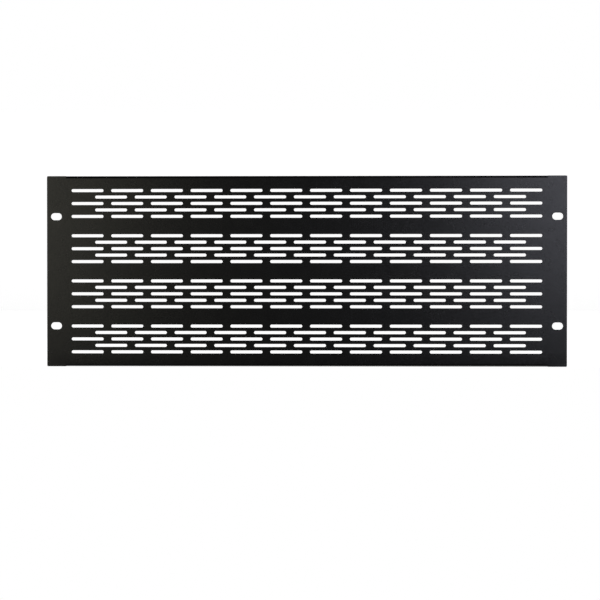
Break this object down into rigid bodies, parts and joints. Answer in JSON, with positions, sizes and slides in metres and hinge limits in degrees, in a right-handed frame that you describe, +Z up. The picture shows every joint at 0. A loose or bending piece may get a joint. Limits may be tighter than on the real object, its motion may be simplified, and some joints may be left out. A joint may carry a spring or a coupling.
{
  "type": "rack blanking panel",
  "caption": "Vented blanking panel that closes an empty space in an equipment rack: folded sheet steel with rows of slots, slotted mounting ears and a flange along its top and bottom.",
  "frame": {"origin": "centre of the four mounting slots, on the rear face of the ears, which seats on the rack's rails", "axes": "+X along the panel's width, +Y from its front face to its back, +Z up"},
  "size_m": [0.4826, 0.012, 0.177],
  "materials": {
    "powder_coat": "black powder coat, fine texture, satin"
  },
  "bodies": {
    "root": {"vented_panel": "powder_coat"}
  },
  "joints": []
}
